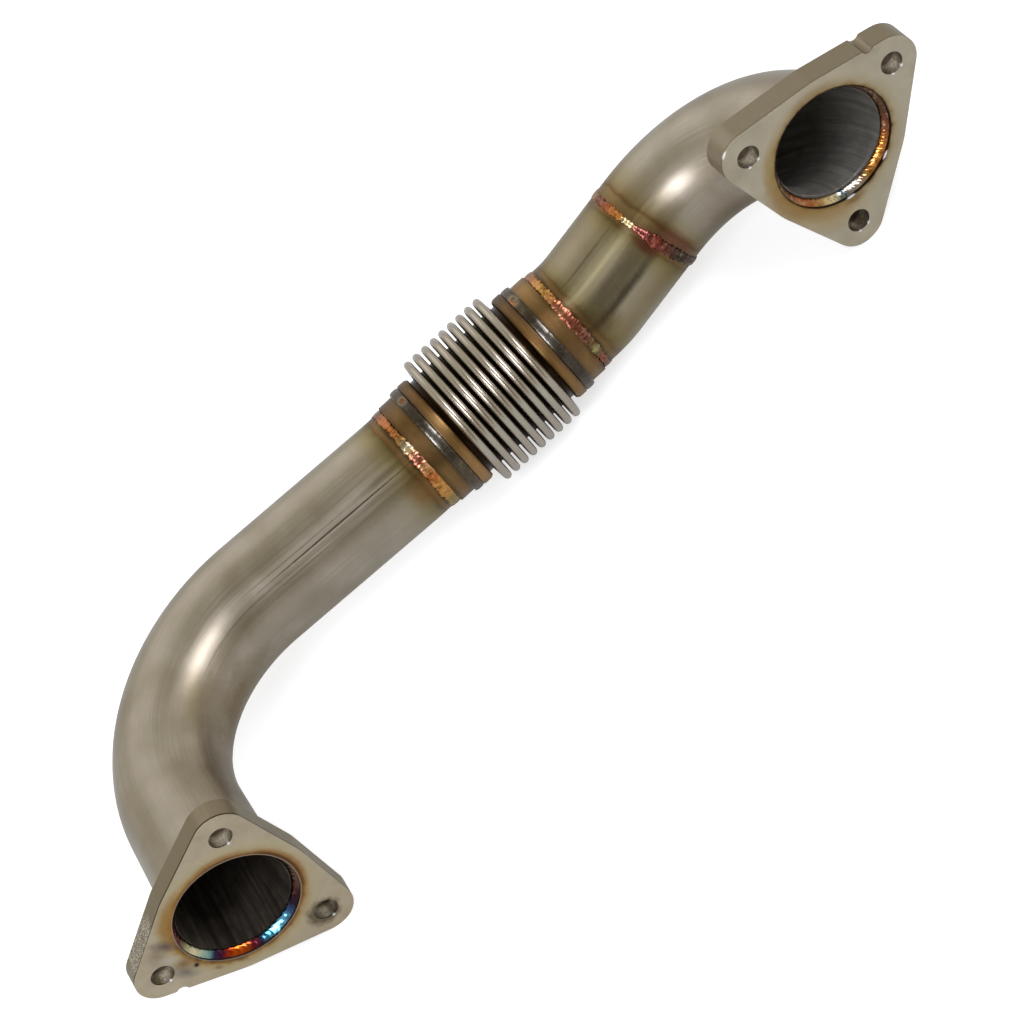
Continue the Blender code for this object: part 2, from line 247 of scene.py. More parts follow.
def weave(theta, z, scale, seed):
    # smooth unevenness that closes on itself round a ring, about -1 to 1
    return noise.noise(Vector((math.cos(theta) * scale, math.sin(theta) * scale, z + seed * 7.3)))


def toLinear(code):
    parts = [int(code[i:i + 2], 16) / 255 for i in (1, 3, 5)]
    return tuple(c / 12.92 if c <= 0.04045 else ((c + 0.055) / 1.055) ** 2.4 for c in parts) + (1.0,)


def addNode(tree, kind, values=None, links=None, **settings):
    node = tree.nodes.new("ShaderNode" + kind)
    for key, value in settings.items():
        setattr(node, key, value)
    for key, value in (values or {}).items():
        node.inputs[key].default_value = value
    for key, socket in (links or {}).items():
        tree.links.new(socket, node.inputs[key])
    return node


def newMaterial(name, metallic=1.0):
    made = bpy.data.materials.new(name)
    made.use_nodes = True
    shader = made.node_tree.nodes["Principled BSDF"]
    shader.inputs["Metallic"].default_value = metallic
    return made, made.node_tree, shader


def layOf(tree):
    # the place on the unbent piece, in mm
    return addNode(tree, "Attribute", attribute_name="lay").outputs["Vector"]


def grainOf(tree, scale, detail, rough, stretch=(1.0, 1.0, 1.0)):
    # a noise on the unbent place, stretched so that it runs along or round the piece
    turned = addNode(tree, "Mapping", {"Scale": stretch}, {"Vector": layOf(tree)})
    return addNode(
        tree, "TexNoise", {"Scale": scale, "Detail": detail, "Roughness": rough},
        {"Vector": turned.outputs["Vector"]},
    ).outputs["Fac"]


def worked(tree, operation, a, b):
    return addNode(tree, "Math", None, {0: a, 1: b}, operation=operation).outputs[0]


def both(tree, a, b):
    return worked(tree, "MULTIPLY", a, b)


def lengthOf(tree, vector):
    return addNode(tree, "VectorMath", None, {0: vector}, operation="LENGTH").outputs["Value"]


def partsOf(tree, vector):
    return addNode(tree, "SeparateXYZ", None, {"Vector": vector}).outputs


def rampOf(tree, value, stops):
    # the tone of a value along colour stops
    node = addNode(tree, "ValToRGB", None, {"Fac": value})
    elements = node.color_ramp.elements
    while len(elements) > 1:
        elements.remove(elements[-1])
    elements[0].position, elements[0].color = stops[0][0], toLinear(stops[0][1])
    for place, code in stops[1:]:
        elements.new(place).color = toLinear(code)
    return node.outputs["Color"]


def spread(tree, value, low, high, toLow=0.0, toHigh=1.0):
    # a value between low and high, turned into one between toLow and toHigh and held there
    values = {"From Min": low, "From Max": high, "To Min": toLow, "To Max": toHigh}
    return addNode(tree, "MapRange", values, {"Value": value}).outputs["Result"]


def measure(tree, what):
    # radius, turn (0 to 1 round the piece) or height of the unbent place
    parts = partsOf(tree, layOf(tree))
    if what == "height":
        return parts["Z"]
    if what == "radius":
        flat = addNode(tree, "CombineXYZ", None, {"X": parts["X"], "Y": parts["Y"]})
        return lengthOf(tree, flat.outputs["Vector"])
    return spread(tree, worked(tree, "ARCTAN2", parts["Y"], parts["X"]), -math.pi, math.pi)


def wobble(tree, value, amount, scale):
    # moves a measure to and fro by a noise, so that a tint has no ruled edge
    shift = spread(tree, grainOf(tree, scale, 3.0, 0.55), 0.0, 1.0, -amount, amount)
    return worked(tree, "ADD", value, shift)


def mixed(tree, factor, a, b, blend="MIX"):
    # factor, a and b are each a socket, a constant or the code of a colour
    node = addNode(tree, "Mix", data_type="RGBA", blend_type=blend)
    for key, value in ((0, factor), (6, a), (7, b)):
        if isinstance(value, bpy.types.NodeSocket):
            tree.links.new(value, node.inputs[key])
        else:
            node.inputs[key].default_value = toLinear(value) if isinstance(value, str) else value
    return node.outputs[2]


def laid(tree, cover, strength, colour, tint):
    # the tint over the colour where the cover is 1
    return mixed(tree, spread(tree, cover, 0.0, 1.0, 0.0, strength), colour, tint)


def blot(tree, place, size, turn=0.0, ragged=0.3, scale=0.35, soft=0.35):
    # 1 inside a ragged blot round a place on the unbent piece and 0 outside; size is half its size in mm
    near = addNode(
        tree, "Mapping", {"Location": place, "Rotation": (0, 0, math.radians(turn)), "Scale": size},
        {"Vector": layOf(tree)}, vector_type="TEXTURE",
    )
    away = wobble(tree, lengthOf(tree, near.outputs["Vector"]), ragged, scale)
    return spread(tree, away, 1 + soft, 1 - soft)


def arcBlot(tree, turn, halfTurn, radius, halfRadius, soft):
    # the same bent round the middle of the piece, its middle and half size given as an angle and a radius
    near = addNode(
        tree, "Mapping", {"Rotation": (0, 0, math.radians(turn))}, {"Vector": layOf(tree)},
        vector_type="TEXTURE",
    )
    parts = partsOf(tree, near.outputs["Vector"])
    half, reach = math.radians(halfTurn), 5.0
    angle = worked(tree, "ARCTAN2", parts["Y"], parts["X"])
    angle = spread(tree, angle, -reach * half, reach * half, -reach, reach)
    low, high = radius - reach * halfRadius, radius + reach * halfRadius
    outwards = spread(tree, measure(tree, "radius"), low, high, -reach, reach)
    away = addNode(tree, "CombineXYZ", None, {"X": angle, "Y": outwards}).outputs["Vector"]
    return spread(tree, wobble(tree, lengthOf(tree, away), 0.3, 0.3), 1 + soft, 1 - soft)


def tinted(tree, colour, marks):
    # a mark is a blot's place, half size and turn or an arc's four values, then tint, strength and softness
    for *shape, code, strength, soft in marks:
        cover = blot(tree, *shape, soft=soft) if len(shape) == 3 else arcBlot(tree, *shape, soft)
        colour = laid(tree, cover, strength, colour, code)
    return colour


markDepth = 4.0


def onTube(turn, along, wide, long, code, strength, soft=0.6):
    # a mark on the wall of a tube, at a turn round it and a length along it
    spot = heading(turn, 0) * tubing["radius"]
    return (spot.x, spot.y, along), (wide, markDepth, long), turn - 90, code, strength, soft


def onFace(x, y, wide, long, turn, code, strength, soft):
    # a mark on the face of a flange
    return (x, y, 0), (wide, long, markDepth), turn, code, strength, soft


def onRing(radius, marks):
    # arcs on the outside of a ring, across its whole width
    return [(turn, half, radius, 3.0, *tint) for turn, half, *tint in marks]


def finish(tree, shader, colour, roughness, grain, bumpGrain, bumpDepth):
    # colour on the shader, roughness between two values by a grain, and a bump of the given depth in mm
    tree.links.new(colour, shader.inputs["Base Color"])
    tree.links.new(spread(tree, grain, 0.3, 0.7, *roughness), shader.inputs["Roughness"])
    bump = addNode(tree, "Bump", {"Distance": bumpDepth * mm, "Strength": 1.0}, {"Height": bumpGrain})
    tree.links.new(bump.outputs["Normal"], shader.inputs["Normal"])


# Drawn stainless tube left bright: fine lines along it and heat tint by the distance to the nearest weld
def tubeSteel(name, tones, heatStops, marks):
    made, tree, shader = newMaterial(name)
    lines = grainOf(tree, 0.9, 5.0, 0.65, (1.0, 1.0, 0.02))
    clouds = grainOf(tree, 0.045, 3.0, 0.5)
    base = mixed(tree, spread(tree, lines, 0.3, 0.7), tones[0], tones[1])
    base = mixed(tree, spread(tree, clouds, 0.3, 0.7), base, tones[2])
    weldGap = addNode(tree, "Attribute", attribute_name="fromWeld").outputs["Fac"]
    weldGap = wobble(tree, weldGap, 1.7, 0.13)
    heat = rampOf(tree, spread(tree, weldGap, 0.0, 30.0), heatStops)
    colour = mixed(tree, spread(tree, weldGap, 6.0, 28.0, 1.0, 0.0), base, heat)
    finish(tree, shader, tinted(tree, colour, marks), (0.32, 0.42), lines, lines, 0.03)
    return made


# The same tube inside, never polished, with the scores of the mandrel; its tones are painted shade inside the
# tube, near black in the lower one
def boreSteel(name, low, high, stain, metallic):
    made, tree, shader = newMaterial(name, metallic)
    lines = grainOf(tree, 0.5, 4.0, 0.6, (1.0, 1.0, 0.05))
    clouds = grainOf(tree, 0.08, 3.0, 0.6)
    colour = mixed(tree, spread(tree, lines, 0.35, 0.65), low, high)
    # darker clouds over it, part of the same painted shade
    colour = mixed(tree, spread(tree, clouds, 0.4, 0.7, 0.0, 0.6), colour, stain)
    finish(tree, shader, colour, (0.36, 0.52), lines, lines, 0.05)
    return made


# Laser-cut stainless plate, faces ground, edges and holes as cut; heat tint round the bore and stray marks
def flangeSteel(name, shape, tones, heatStops, marks, lines, glints, roughPatch=None):
    # lines: strength of the dark line beside the face, then strength and tone of the line round the bore
    made, tree, shader = newMaterial(name)
    grit = grainOf(tree, 3.0, 4.0, 0.7)
    clouds = grainOf(tree, 0.06, 4.0, 0.6)
    base = mixed(tree, spread(tree, clouds, 0.3, 0.7), tones[0], tones[1])
    radius = wobble(tree, measure(tree, "radius"), 2.0, 0.18)
    heat = rampOf(tree, spread(tree, radius, 27.0, 42.0), heatStops)
    colour = tinted(tree, mixed(tree, spread(tree, radius, 30.0, 42.0, 1.0, 0.0), base, heat), marks)
    # the cut edge: darker, streaked from face to face, with a dark line where it meets the face
    height = measure(tree, "height")
    streaks = grainOf(tree, 1.2, 3.0, 0.6, (1.0, 1.0, 0.08))
    cutTone = mixed(tree, spread(tree, streaks, 0.2, 0.8, 0.25, 0.75), tones[2], tones[3])
    colour = mixed(tree, spread(tree, height, -0.35, -0.8), colour, cutTone)
    faceEdgeLine = both(tree, spread(tree, height, -1.25, -0.95), spread(tree, height, -0.15, -0.4))
    colour = laid(tree, faceEdgeLine, lines[0], colour, "#332b1f")
    inBore = spread(tree, measure(tree, "radius"), flangeShape["bore"] + 0.6, flangeShape["bore"] + 0.4)
    colour = laid(tree, both(tree, inBore, spread(tree, height, -0.9, -0.7)), lines[1], colour, lines[2])
    # the bolt holes: bright where the drill cut, with painted shade darkening them further down and a painted
    # glint on the rim
    belowFace = spread(tree, height, -0.5, -0.9)
    holeWallShaded = mixed(tree, spread(tree, grainOf(tree, 0.8, 3.0, 0.6), 0.35, 0.65), "#8f8674", "#c0b7a6")
    # painted shade: the hole walls darken from 5 mm below the face downwards
    holeWallShaded = mixed(tree, spread(tree, height, -5.0, -8.0), holeWallShaded, "#4a4236")
    wide = flangeShape["boltHole"] + 0.6
    for k in range(3):
        spot = heading(shape["turn"] + 120 * k, 0) * flangeShape["boltCircle"]
        drilled = blot(tree, tuple(spot), (wide, wide, 60.0), 0, 0.0, 0.35, 0.04)
        colour = mixed(tree, both(tree, belowFace, drilled), colour, holeWallShaded)
        for turn in shape["glintTurns"]:
            place = spot + heading(turn, 0) * (flangeShape["boltHole"] + 0.3)
            glints = [*glints, ((place.x, place.y, -0.4), (0.75, 0.5, 0.8), turn + 90, "#ffffff", 1.0, 0.3)]
    if roughPatch:
        patch = blot(tree, *roughPatch, 0.25, 0.3, 0.12)
        pits = spread(tree, grainOf(tree, 1.7, 3.0, 0.6), 0.46, 0.6)
        speckled = mixed(tree, pits, "#7a705c", "#d6d1c4")
        colour = mixed(tree, both(tree, belowFace, patch), colour, speckled)
    finish(tree, shader, tinted(tree, colour, glints), (0.36, 0.48), clouds, grit, 0.03)
    return made


# Thin stainless foil rolled into convolutions: bright, smooth round the ring, with painted shade that darkens
# it down in the roots and on the cuffs
def bellowsSteel():
    made, tree, shader = newMaterial("rolled_stainless_foil")
    rings = grainOf(tree, 0.35, 2.0, 0.5, (0.15, 0.15, 1.0))
    radius = measure(tree, "radius")
    # painted shade: by radius, near black on the cuffs and down in the roots, full tone only at the crests
    depth = rampOf(tree, spread(tree, radius, 25.7, 32.3), [
        (0.0, "#382d21"), (0.3, "#54452f"), (0.5, "#6f5c42"), (0.75, "#a08c6c"), (1.0, "#ffffff"),
    ])
    colour = mixed(tree, 1.0, mixed(tree, rings, "#a79e8f", "#b9b1a3"), depth, "MULTIPLY")
    finish(tree, shader, colour, (0.26, 0.29), rings, rings, 0.002)
    inGap = both(tree, spread(tree, radius, 25.8, 27.5), spread(tree, radius, 32.0, 29.0))
    tree.links.new(spread(tree, inGap, 0.0, 1.0, 1.0, 0.4), shader.inputs["Metallic"])
    return made


# Stainless ring left in its heat tint: bands of brown and gold oxide across its width
def oxideSteel(name, low, high, stops, patchTone, rough, marks):
    made, tree, shader = newMaterial(name)
    clouds = grainOf(tree, 0.12, 4.0, 0.6)
    lines = grainOf(tree, 0.8, 4.0, 0.6, (0.15, 0.15, 2.0))
    patches = grainOf(tree, 0.07, 3.0, 0.5)
    colour = rampOf(tree, spread(tree, wobble(tree, measure(tree, "height"), 0.7, 0.2), low, high), stops)
    colour = mixed(tree, spread(tree, patches, 0.45, 0.68, 0.0, 0.8), colour, patchTone)
    colour = mixed(tree, spread(tree, lines, 0.4, 0.7, 0.0, 0.35), colour, "#3f2f20")
    finish(tree, shader, tinted(tree, colour, marks), rough, clouds, lines, 0.04)
    return made


# Fusion weld as laid, its oxide in the colours of the heat: stops run once round the ring
def weldSteel(name, stops, rough=(0.22, 0.38), speckle=0.35, shade=0.6, marks=()):
    made, tree, shader = newMaterial(name)
    colour = rampOf(tree, wobble(tree, measure(tree, "turn"), 0.014, 0.35), stops)
    grains = grainOf(tree, 0.45, 3.0, 0.55)
    colour = mixed(tree, spread(tree, grains, 0.54, 0.74, 0.0, speckle), colour, "#e0c29c")
    colour = mixed(tree, spread(tree, grains, 0.48, 0.32, 0.0, shade), colour, "#43261a")
    finish(tree, shader, tinted(tree, colour, marks), rough, grains, grains, 0.05)
    return made


weldHeat = [
    (0.0, "#4a3522"), (0.04, "#54402a"), (0.075, "#72603c"), (0.115, "#7d5d38"), (0.15, "#665433"),
    (0.21, "#7c6e48"), (0.34, "#8c805a"), (0.55, "#968c70"), (1.0, "#9c927c"),
]
elbowHeat = [
    (0.0, "#75583e"), (0.1, "#7f6b48"), (0.15, "#857048"), (0.19, "#6e5637"), (0.25, "#85744c"),
    (0.38, "#908360"), (0.6, "#968c70"), (1.0, "#9c927c"),
]
lowerTubeFinish = tubeSteel("drawn_stainless_lower", ("#a19889", "#b5ac9d", "#968d7b"), weldHeat, [
    onTube(90, 43, 0.4, 38, "#2b2720", 0.8, 0.4),
    onTube(97, 14, 1.4, 12, "#4c452f", 0.5),
    onTube(60, 8, 7, 4.5, "#7d5330", 0.55),
    onTube(84, 104, 0.4, 34, "#574e3c", 0.5, 0.5),
    onTube(96, 66, 0.35, 30, "#5b5340", 0.5, 0.5),
    onTube(34, 148, 9, 30, "#74613c", 0.7),
    onTube(55, 208, 8, 30, "#6c5c40", 0.55),
    onTube(8, 90, 7, 70, "#806f4e", 0.55),
    # painted shade: these four darker marks dim the lamps' highlight where it spreads too far round the lower
    # bend
    onTube(108, 153, 8, 14, "#84795f", 0.2),
    onTube(149, 184, 6, 50, "#8b8270", 0.2),
    onTube(86, 160, 5, 16, "#837658", 0.5),
    onTube(64, 156, 6, 24, "#776747", 0.45),
])
spoolFinish = tubeSteel("drawn_stainless_spool", ("#9c927b", "#afa68d", "#8e846a"), weldHeat, [
    # light and dark stripes along the spool: partly real streaks, partly painted reflection of the bright and
    # the dim sides of the room
    onTube(80, 26, 3.0, 21, "#d0c79c", 0.5),
    onTube(101, 24, 5.5, 24, "#514b36", 0.55),
    onTube(115, 23, 2.0, 24, "#2f2a1e", 0.75),
    onTube(64, 24, 0.6, 18, "#5c5334", 0.55),
    onTube(105, 46.5, 6, 2.6, "#6b3c30", 0.75, 0.4),
    onTube(120, 10, 5, 6, "#4a3924", 0.5),
    onTube(27, 27, 7, 24, "#7d705a", 0.5),
    onTube(146, 26, 6, 22, "#7e6c42", 0.5),
])
elbowFinish = tubeSteel("drawn_stainless_elbow", ("#a29a8c", "#b7afa1", "#99907f"), elbowHeat, [
    onTube(126, 4.5, 13, 4.2, "#6b4036", 0.75),
    onTube(160, 56, 8, 32, "#74633f", 0.75),
    onTube(140, 40, 9, 24, "#7d6c50", 0.3),
])
# painted shade inside the tubes: the lower bore painted near black, the upper one a darker grey than its
# outside
lowerBoreFinish = boreSteel("stainless_bore_deep_painted_shade", "#40382f", "#6e665a", "#2e2720", 0.7)
upperBoreFinish = boreSteel("stainless_bore_painted_shade", "#78746b", "#98948a", "#65615a", 0.5)

acrossView = -45  # marks on the lower flange that run level in the photograph
lowerFlangeHeat = [
    (0.0, "#3a2a1c"), (0.1, "#4e3824"), (0.13, "#7d5a30"), (0.19, "#967444"), (0.27, "#ad9668"),
    (0.5, "#b8ac8a"), (1.0, "#b6aa91"),
]
lowerFlangeMarks = [
    (150, 26, 31.0, 4.0, "#9a7438", 0.8, 0.5),
    (84, 24, 30.2, 2.0, "#96703e", 0.75, 0.5),
    (80, 20, 29.5, 0.6, "#5a4436", 0.7, 0.5),
    (10, 42, 29.8, 2.2, "#94693a", 0.8, 0.4),
    (14, 40, 29.5, 0.9, "#563a24", 0.85, 0.4),
    (-60, 30, 29.0, 0.9, "#8a5c34", 0.7, 0.4),
    onFace(-33.5, 4.5, 5.0, 2.2, acrossView, "#54424a", 0.75, 0.8),
    onFace(-38.0, 1.0, 3.0, 4.0, 0, "#7d654a", 0.5, 0.8),
    onFace(-35.8, -3.9, 5.0, 1.6, acrossView, "#bdb7aa", 0.55, 0.8),
    onFace(-31.5, -10.8, 3.8, 2.6, acrossView, "#7a5a34", 0.75, 0.8),
    onFace(-33.1, -15.8, 4.6, 2.2, acrossView, "#6f6864", 0.75, 0.8),
    onFace(-27.7, -15.6, 1.7, 1.7, 0, "#6f6656", 0.5, 0.4),
    onFace(-27.7, -15.6, 1.0, 1.0, 0, "#1b1712", 0.9, 0.2),
    onFace(-21.0, -24.4, 1.8, 1.1, acrossView, "#6a553f", 0.5, 0.5),
    onFace(-12.1, -26.9, 3.2, 1.3, acrossView, "#5d4832", 0.6, 0.5),
    onFace(27.6, -31.6, 7.2, 7.2, 0, "#4a3c26", 0.75, 0.2),
]
lowerFlangeFinish = flangeSteel(
    "ground_stainless_lower", flangeShape["lower"], ("#beb298", "#a99d84", "#857a64", "#938872"),
    lowerFlangeHeat, lowerFlangeMarks, (0.9, 0.5, "#a89e8d"), [],
    ((-41.5, 7.0, -5.0), (9.0, 17.0, 8.0), 163),
)
upperFlangeHeat = [
    (0.0, "#241b12"), (0.1, "#33281b"), (0.125, "#7c6644"), (0.18, "#9c8862"), (0.28, "#ab9d7f"),
    (0.55, "#b5ab91"), (1.0, "#b4ab95"),
]
upperFlangeMarks = [
    (-168, 30, 31.5, 4.4, "#977640", 0.75, 0.5),
    (148, 22, 30.8, 3.2, "#9c8248", 0.6, 0.5),
    (-126, 26, 31.6, 3.6, "#967640", 0.65, 0.5),
    (-126, 24, 36.0, 4.5, "#ab9668", 0.6, 0.6),
    (-103, 8, 31.0, 1.6, "#745730", 0.6, 0.5),
    (76, 22, 30.6, 2.2, "#917a50", 0.5, 0.5),
]
upperFlangeGlints = [
    (-60, 4, 28.8, 0.5, "#ffffff", 0.9, 0.3),
    (-106, 4, 28.8, 0.5, "#ffffff", 0.9, 0.3),
    ((-36.2, 41.0, -0.3), (1.9, 0.5, 0.7), 34, "#ffffff", 1.0, 0.3),
]
upperFlangeFinish = flangeSteel(
    "ground_stainless_upper", flangeShape["upper"], ("#bbb29d", "#a9a08b", "#8b816d", "#998f7b"),
    upperFlangeHeat, upperFlangeMarks, (0.35, 0.8, "#2c241b"), upperFlangeGlints,
)
bellowsFinish = bellowsSteel()
capSpan, capRough = (collar["capFrom"], collar["capTo"]), (0.34, 0.46)
capStops = [
    (0.0, "#5f472e"), (0.3, "#7e5e38"), (0.5, "#8f6e42"), (0.72, "#82633f"), (0.9, "#6a503b"),
    (1.0, "#4c3a2c"),
]
# the lighter arc at 98 degrees on each cap is partly gold tint, partly a painted highlight across the middle
# of the ring
lowerCapMarks = onRing(collar["capRadius"], [
    (98, 13, "#a88656", 0.4, 0.8), (155, 30, "#55442f", 0.55, 0.7), (30, 30, "#b08a58", 0.6, 0.7),
])
upperCapMarks = onRing(collar["capRadius"], [
    (98, 10, "#a08050", 0.35, 0.8), (22, 30, "#4e4030", 0.75, 0.7), (160, 28, "#9a774a", 0.5, 0.7),
])
lowerCapFinish = oxideSteel("brown_tinted_ring_lower", *capSpan, capStops, "#8f6e3e", capRough, lowerCapMarks)
upperCapFinish = oxideSteel("brown_tinted_ring_upper", *capSpan, capStops, "#8a6a3e", capRough, upperCapMarks)
sleeveSpan, sleeveRough = (collar["seamTo"], collar["shoulder"]), (0.32, 0.44)
sleeveStops = [(0.0, "#625035"), (0.25, "#806640"), (0.6, "#8a6a44"), (0.85, "#7c643c"), (1.0, "#604a30")]
# the lighter arc at 98 degrees on each sleeve is partly gold tint, partly a painted highlight across the
# middle of the ring
lowerSleeveFinish = oxideSteel(
    "olive_tinted_sleeve_lower", *sleeveSpan, sleeveStops, "#7c5c38", sleeveRough,
    onRing(collar["sleeveRadius"], [
        (90, 60, "#5e4a2c", 0.3, 0.9), (98, 12, "#a58458", 0.2, 0.8), (72, 7, "#5a4630", 0.5, 0.7),
        (160, 24, "#5e4b34", 0.65, 0.7), (122, 6, "#6b532f", 0.5, 0.6),
    ]),
)
upperSleeveFinish = oxideSteel(
    "olive_tinted_sleeve_upper", *sleeveSpan, sleeveStops, "#8a6440", sleeveRough,
    onRing(collar["sleeveRadius"], [
        (98, 12, "#a58458", 0.3, 0.8), (118, 8, "#5a4630", 0.5, 0.7), (30, 26, "#9c7c50", 0.5, 0.7),
        (66, 5, "#6b532f", 0.5, 0.6),
    ]),
)
# the light stop at 0.75, a quarter turn round, is a painted highlight along the middle of each seam
seamLook = [
    (0.0, "#48433a"), (0.5, "#4c463c"), (0.62, "#59503f"), (0.7, "#4a453b"), (0.75, "#85817a"),
    (0.8, "#4b463c"), (0.88, "#474138"), (0.95, "#5a5244"), (1.0, "#48433a"),
], (0.24, 0.32), 0.08, 0.15
lowerSeamFinish = weldSteel("charcoal_weld_lower", *seamLook, [
    ((-21.7, 17.5, 32.0), (3.0, 3.0, 2.6), 0, "#857865", 0.8, 0.25),
    ((-21.7, 17.5, 32.0), (1.5, 1.5, 1.3), 0, "#8f6040", 0.9, 0.3),
])
upperSeamFinish = weldSteel("charcoal_weld_upper", *seamLook, [
    ((21.4, 17.9, 31.8), (3.8, 3.8, 2.8), 0, "#857763", 0.8, 0.25),
    ((21.0, 18.6, 30.7), (2.2, 2.2, 0.8), 0, "#b07442", 0.9, 0.3),
])
lowerCollarFinish = weldSteel("gold_fusion_weld", [
    (0.0, "#8a6a44"), (0.5, "#8c7850"), (0.58, "#9a8448"), (0.617, "#c08a46"), (0.65, "#c8924e"),
    (0.683, "#bd6a34"), (0.7, "#d89860"), (0.717, "#f0b888"), (0.735, "#b06450"), (0.75, "#b0705c"),
    (0.765, "#d0a074"), (0.783, "#d8d0a8"), (0.795, "#8a7a60"), (0.81, "#a87a40"), (0.85, "#b47040"),
    (0.883, "#b47044"), (0.917, "#a87050"), (0.95, "#7a5a40"), (1.0, "#8a6a44"),
])
upperCollarFinish = weldSteel("rose_fusion_weld", [
    (0.0, "#8a6a44"), (0.55, "#a0785c"), (0.583, "#b07a50"), (0.617, "#c09054"), (0.65, "#c09250"),
    (0.683, "#c88c54"), (0.7, "#9c6246"), (0.717, "#a5694c"), (0.735, "#b87c60"), (0.75, "#945440"),
    (0.783, "#86503e"), (0.817, "#805242"), (0.85, "#6e5c3c"), (0.867, "#9a9660"), (0.883, "#6e5c40"),
    (0.917, "#9a5638"), (0.95, "#6a4a38"), (1.0, "#8a6a44"),
])
elbowWeldFinish = weldSteel("copper_fusion_weld", [
    (0.0, "#6a4a3a"), (0.517, "#8a5a48"), (0.55, "#a8865a"), (0.583, "#74443a"), (0.615, "#84483a"),
    (0.65, "#b8703c"), (0.683, "#cc8840"), (0.7, "#e4d4a4"), (0.717, "#d6c890"), (0.735, "#b46a60"),
    (0.755, "#a45c58"), (0.783, "#7c423a"), (0.8, "#97483c"), (0.82, "#7c4238"), (0.85, "#62443a"),
    (0.883, "#3e342b"), (0.917, "#4a3c30"), (1.0, "#6a4a3a"),
])
lowerRingFinish = weldSteel("rainbow_fusion_weld", [
    (0.0, "#5a2a28"), (0.025, "#8f8a64"), (0.06, "#d8caa0"), (0.085, "#a8b294"), (0.105, "#6f9a94"),
    (0.125, "#2e2a4a"), (0.145, "#4a1a3c"), (0.16, "#a0301c"), (0.18, "#e8641a"), (0.21, "#ea6a26"),
    (0.225, "#a03a3a"), (0.245, "#4a2c5c"), (0.265, "#3c8cb0"), (0.3, "#78c4e0"), (0.335, "#5c9cc8"),
    (0.355, "#3c5a8c"), (0.375, "#2a2238"), (0.41, "#3c1f24"), (0.45, "#5a4032"), (0.6, "#6a5440"),
    (0.9, "#5c4c3c"), (1.0, "#5a2a28"),
], (0.14, 0.24), 0.08, 0.25)
upperRingFinish = weldSteel("amber_fusion_weld", [
    (0.0, "#7a5e44"), (0.03, "#8a5a40"), (0.07, "#a87248"), (0.1, "#9a5c30"), (0.13, "#b8925c"),
    (0.165, "#f0e4b8"), (0.195, "#5a7488"), (0.215, "#d0ccc4"), (0.24, "#e8dccc"), (0.27, "#c8944c"),
    (0.3, "#d88a40"), (0.335, "#f0a050"), (0.37, "#a8682c"), (0.4, "#8a5438"), (0.45, "#5c4030"),
    (0.6, "#5a4a38"), (0.68, "#8a7c66"), (0.9, "#7c6c54"), (1.0, "#7a5e44"),
], (0.14, 0.26), 0.5, 0.5)
print("materials made")


# Tubes: a straight tube is sliced, given its wall, swaged at its mouth, then bent on the centreline
def straightTube(name, length):
    tube = cylinder(tubing["radius"], (0, 0, length / 2), length, tubing["sides"], "NOTHING")
    tube.name = name
    bpy.ops.object.transform_apply(location=True, rotation=False, scale=False)
    bpy.ops.object.mode_set(mode="EDIT")
    bpy.ops.mesh.select_all(action="DESELECT")
    work = bmesh.from_edit_mesh(tube.data)
    for edge in work.edges:
        edge.select = abs(edge.verts[0].co.z - edge.verts[1].co.z) > mm
    bmesh.update_edit_mesh(tube.data)
    bpy.ops.mesh.subdivide(number_cuts=round(length / tubing["sliceLength"]))
    bpy.ops.object.mode_set(mode="OBJECT")
    wall = tube.modifiers.new("Wall", "SOLIDIFY")
    wall.thickness = tubing["wall"] * mm
    wall.offset = -1
    applyModifiers(tube)
    return tube


def skewOfWeld(theta, away):
    # the elbow is welded on a little askew: how far its joint slides along the tube, fading away from it
    most, turn, fade = tubing["weldSkew"]
    return -most * math.cos(theta - math.radians(turn)) * max(0.0, 1 - abs(away) / fade) ** 2


def bentTube(name, line, begin, end, swage, welds, outside, inside, node):
    tube = straightTube(name, end - begin)
    dress(tube, "tube_steel", outside, inside)
    middle = (tubing["radius"] - tubing["wall"] / 2) * mm
    for face in tube.data.polygons:
        face.material_index = int(math.hypot(face.center.x, face.center.y) < middle)
    away = [min(abs(v.co.z / mm + begin - w) for w in welds) for v in tube.data.vertices]
    tube.data.attributes.new("fromWeld", "FLOAT", "POINT").data.foreach_set("value", away)
    # the frame that is carried along the centreline without twisting
    step, whole = tubing["stationStep"], lineLength(line)
    across = Vector((0, 0, 1)).cross(alongLine(line, 0.0)[1]).normalized()
    stations = []
    for i in range(math.ceil(whole / step) + 2):
        point, direction = alongLine(line, i * step)
        across = (across - direction * across.dot(direction)).normalized()
        stations.append((point, across, direction.cross(across)))
    stretchLength, power = swage
    for vertex in tube.data.vertices:
        run = vertex.co.z / mm + begin
        if line is upperLine:
            run += skewOfWeld(math.atan2(vertex.co.y, vertex.co.x), run - elbowWeldRun)
        i = min(int(run / step), len(stations) - 2)
        t = run / step - i
        centre, side, up = (stations[i][k].lerp(stations[i + 1][k], t) for k in range(3))
        opened = max(0.0, min(1.0, (run - whole + stretchLength) / (stretchLength - tubing["recess"])))
        grow = 1 + (tubing["mouthRadius"] / tubing["radius"] - 1) * opened ** power
        vertex.co = centre * mm + (side * vertex.co.x + up * vertex.co.y) * grow
    settle(tube, Matrix.Identity(4))
    smooth(tube)
    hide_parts(node)


